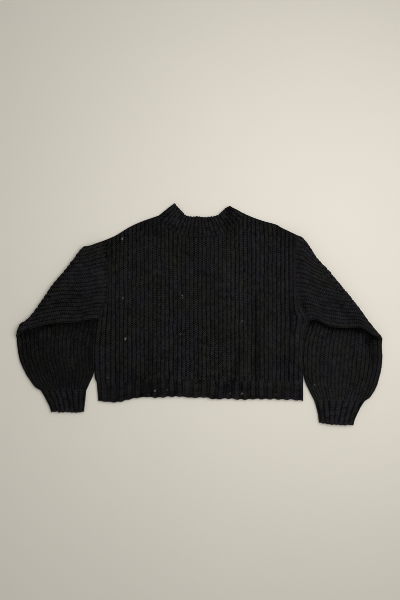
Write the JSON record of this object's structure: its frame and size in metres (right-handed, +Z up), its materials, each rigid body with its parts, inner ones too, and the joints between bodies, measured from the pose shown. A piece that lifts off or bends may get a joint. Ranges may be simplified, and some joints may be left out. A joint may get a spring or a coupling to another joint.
{
  "type": "cropped knit sweater laid flat",
  "caption": "Cropped chunky knit sweater laid flat, with a raised ribbed neckband, dropped shoulders, wide sleeves folded under themselves, and ribbed cuffs and hem.",
  "frame": {"origin": "the middle of the garment's box, on the surface that it lies on", "axes": "+X towards the wearer's left sleeve, +Y towards the neck, +Z up, away from the surface, out of the front"},
  "size_m": [0.9308, 0.565, 0.019],
  "materials": {
    "charcoal_knit": "matt brushed wool, ribbed knit",
    "charcoal_rib": "matt brushed wool, wide rib"
  },
  "bodies": {
    "root": {"body_front": "charcoal_knit", "body_back": "charcoal_knit", "sleeve_right": "charcoal_knit", "sleeve_left": "charcoal_knit", "hem_rib_front": "charcoal_rib", "hem_rib_back": "charcoal_rib", "neckband": "charcoal_rib", "cuff_right": "charcoal_rib", "cuff_left": "charcoal_rib"}
  },
  "joints": []
}
